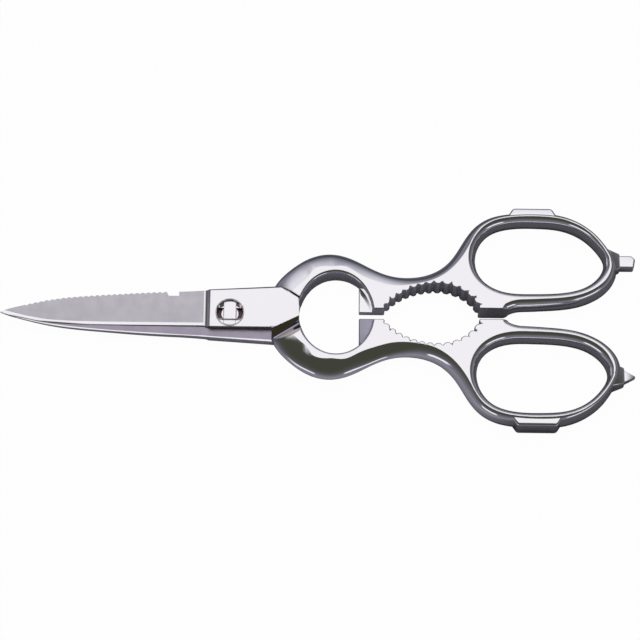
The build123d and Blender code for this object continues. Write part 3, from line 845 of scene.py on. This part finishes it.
def makeHandle(name, h, sheet, mirrorY, mirrorZ):
    verts, faces, inPocket, curves, tests = sheet
    top, low = handleHeights(verts, h, curves, 1.0)
    bm = bmesh.new()
    sheetIndex, kindIndex = bm.verts.layers.int.new("sheet"), bm.faces.layers.int.new("kind")
    sy, sz = (-1 if mirrorY else 1), (-1 if mirrorZ else 1)

    def put(x, y, z):
        return bm.verts.new((pivot.x + x / 1000, pivot.y + sy * y / 1000, pivot.z + sz * z / 1000))

    def mark(i, made):
        made[sheetIndex] = i
        return made

    tops, lows, pockets = {}, {}, {}
    closed = distanceTo(verts, *curves["soft"]) < h["onContour"]
    closed |= distanceTo(verts, *curves["hole"]) < h["onContour"]
    closed &= top < h["thin"]
    for i in set(faces.ravel().tolist()):
        tops[i] = mark(i, put(*verts[i], 0 if closed[i] else top[i]))
    for f, deep in zip(faces.tolist(), inPocket):
        for i in f:
            if deep and i not in pockets:
                pockets[i] = mark(i, put(*verts[i], h["pocketFloor"]))
            if not deep and i not in lows:
                lows[i] = tops[i] if closed[i] else mark(i, put(*verts[i], low[i]))
    flip = (sy * sz) < 0

    def face(kind, *corners):
        corners = [c for k, c in enumerate(corners) if c not in corners[:k]]
        if len(corners) < 3:
            return
        if flip:
            corners = corners[::-1]
        if bm.faces.get(corners) is None:
            bm.faces.new(corners)[kindIndex] = kind

    sides = {}
    for f, deep in zip(faces.tolist(), inPocket):
        a, b, c = f
        turn = np.cross(verts[b] - verts[a], verts[c] - verts[a])
        if turn < 0:
            b, c = c, b
        face(upperFace, tops[a], tops[b], tops[c])
        under = pockets if deep else lows
        face(flatFace if deep else lowerFace, under[c], under[b], under[a])
        for p, q in ((a, b), (b, c), (c, a)):
            sides.setdefault((min(p, q), max(p, q)), []).append((p, q, bool(deep)))
    for used in sides.values():
        if len(used) == 1:
            p, q, deep = used[0]
            under = pockets if deep else lows
            face(wallFace, tops[q], tops[p], under[p], under[q])
        elif used[0][2] != used[1][2]:
            p, q, deep = used[0] if not used[0][2] else used[1]
            face(flatFace, pockets[q], pockets[p], lows[p], lows[q])
    bmesh.ops.remove_doubles(bm, verts=bm.verts, dist=h["weld"])
    for f in bm.faces:
        f.smooth = True
    obj = makePiece(name, bm, handleSteel)
    turned = [n * np.array([1, sy, sz]) for n in handleNormals(verts, h, curves, tests)]
    smoothNormals(obj.data, dict(zip((upperFace, lowerFace), turned)), h["wallTurn"])
    return obj


def slab(name, outline, low, high, mirrorY, mirrorZ, bevel, mat, taper=None, steps=4, sharp=26):
    # block over an outline with eased edges, or one that tapers along the shears to a smaller end
    sy, sz = (-1 if mirrorY else 1), (-1 if mirrorZ else 1)
    bm = bmesh.new()

    def put(x, y, z):
        return bm.verts.new((pivot.x + x / 1000, pivot.y + sy * y / 1000, pivot.z + sz * z / 1000))

    if taper:
        rings = []
        for x, y, halfY, halfZ in (outline, taper):
            rings.append([put(x, y + a * halfY, b * halfZ) for a, b in ((-1, -1), (1, -1), (1, 1), (-1, 1))])
    else:
        rings = ([put(x, y, low) for x, y in outline], [put(x, y, high) for x, y in outline])
    n = len(rings[0])
    bm.faces.new(rings[0][::-1])
    bm.faces.new(rings[1])
    for i in range(n):
        bm.faces.new((rings[0][i], rings[0][(i + 1) % n], rings[1][(i + 1) % n], rings[1][i]))
    bmesh.ops.recalc_face_normals(bm, faces=bm.faces)
    bmesh.ops.bevel(bm, geom=list(bm.edges), offset=bevel / 1000, segments=steps, profile=0.5, affect="EDGES",
                    clamp_overlap=True)
    for f in bm.faces:
        f.smooth = True
    for e in bm.edges:
        if len(e.link_faces) == 2 and e.calc_face_angle(0) > math.radians(sharp):
            e.smooth = False
    return makePiece(name, bm, mat)


small = {
    # lips that lift caps, sunk a little into the ring's wall
    "lipStart": 41.2, "lipLow": 0.8, "lipHigh": 2.8, "lipEdge": 0.32, "lipSunk": 0.5, "lipShort": 0.2,
    "lipSteps": 14,
    "tabMiddle": 97.3, "tabHalf": 6.3, "tabSlope": 2.3, "tabBase": 34.2, "tabCrest": 38.0, "tabDeep": 3.55,
    "tabEdge": 0.85,
    # starts and ends: x, half width, half thickness
    "tipY": 19.95, "rootStart": (120.6, 4.2, 3.4), "rootEnd": (125.3, 2.7, 1.95), "rootEdge": 0.5,
    "driverStart": 124.6, "driverEnd": 130.3, "driverHalf": 2.2, "driverDeep": 1.75, "driverCorner": 1.2,
    "driverEdge": 0.55,
    "pickStart": (124.8, 2.2, 1.5), "pickEnd": (128.8, 0.16, 0.9), "pickEdge": 0.2,
}


def smallForms(side, mirrorY, mirrorZ, body):
    t = small
    turned = (mirrorY, mirrorZ)
    middle, size = handle["ringMiddle"], handle["ringSize"]
    high = size[1] * math.sqrt(1 - ((t["lipStart"] - middle[0]) / size[0]) ** 2)
    ys = np.linspace(handle["gap"], high, t["lipSteps"])
    wide, tall = size[0] + t["lipSunk"], size[1] + t["lipSunk"]
    arc = [(middle[0] + wide * math.sqrt(max(0, 1 - (y / tall) ** 2)), y) for y in ys]
    lip = [(t["lipStart"], ys[0])] + arc + [(t["lipStart"], ys[-1] - t["lipShort"])]
    # painted shade on the front cap lip, which sits down in the ring
    forms = [slab(side + "CapLip", lip, t["lipLow"], t["lipHigh"], *turned, t["lipEdge"],
                  lipShadeSteel if side == "front" else polished)]
    x, half = t["tabMiddle"], t["tabHalf"]
    tab = [(x - half - t["tabSlope"], t["tabBase"]), (x + half + t["tabSlope"], t["tabBase"]),
           (x + half, t["tabCrest"]), (x - half, t["tabCrest"])]
    forms.append(slab(side + "Tab", tab, -t["tabDeep"], t["tabDeep"], *turned, t["tabEdge"], polished))
    y = t["tipY"]

    def end(place):
        return (place[0], y, place[1], place[2])

    forms.append(slab(side + "TipRoot", end(t["rootStart"]), 0, 0, *turned, t["rootEdge"], polished,
                      taper=end(t["rootEnd"])))
    if side == "rear":
        a, b, c = y - t["driverHalf"], y + t["driverHalf"], t["driverCorner"]
        driver = [(t["driverStart"], a), (t["driverEnd"] - c / 2, a), (t["driverEnd"], b - c),
                  (t["driverEnd"] - c, b), (t["driverStart"], b)]
        forms.append(slab("driverTip", driver, -t["driverDeep"], t["driverDeep"], *turned, t["driverEdge"],
                          polished))
    else:
        forms.append(slab("pickTip", end(t["pickStart"]), 0, 0, *turned, t["pickEdge"], polished,
                          taper=end(t["pickEnd"])))
    for obj in forms:
        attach(obj, body)


def hollowShadeSteel(h):
    # polished steel with painted shade, darker in the hollow beside the seam
    mat = steel("handleSteel", finish["polishedColour"], finish["polishedRough"])
    nt = mat.node_tree
    shader = nt.nodes["Principled BSDF"]
    place = axes(nt, nt.nodes.new("ShaderNodeTexCoord").outputs["Object"])
    (x0, y0), (x1, y1) = h["seamStart"], h["seamEnd"]
    size = math.hypot(x1 - x0, y1 - y0)
    x = sums(nt, "SUBTRACT", place["X"], pivot.x + x0 / 1000)
    y = sums(nt, "SUBTRACT", sums(nt, "ABSOLUTE", place["Y"]), y0 / 1000)
    away = sums(nt, "ADD", sums(nt, "MULTIPLY", x, (y0 - y1) / size),
                sums(nt, "MULTIPLY", y, (x1 - x0) / size))
    # painted shade that fades out across the scoop away from the seam
    depth = mapRange(nt, away, 0, h["scoop"] / 1000)
    tone = mixed(nt, depth, (*finish["hollowShadeColour"], 1), (*finish["polishedColour"], 1))
    link(nt, tone, shader.inputs["Base Color"])
    return mat


handleSteel = hollowShadeSteel(handle)
sheet = handleSheet(handle)
print("handle sheet:", len(sheet[0]), "points,", len(sheet[1]), "faces")
frontHandle = makeHandle("frontHandleSkin", handle, sheet, True, False)
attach(frontHandle, "front_half")
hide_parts("front_handle")
rearHandle = makeHandle("rearHandleSkin", handle, sheet, False, True)
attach(rearHandle, "rear_half")
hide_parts("rear_handle")
smallForms("front", True, False, "front_half")
smallForms("rear", False, True, "rear_half")
print("handles made")
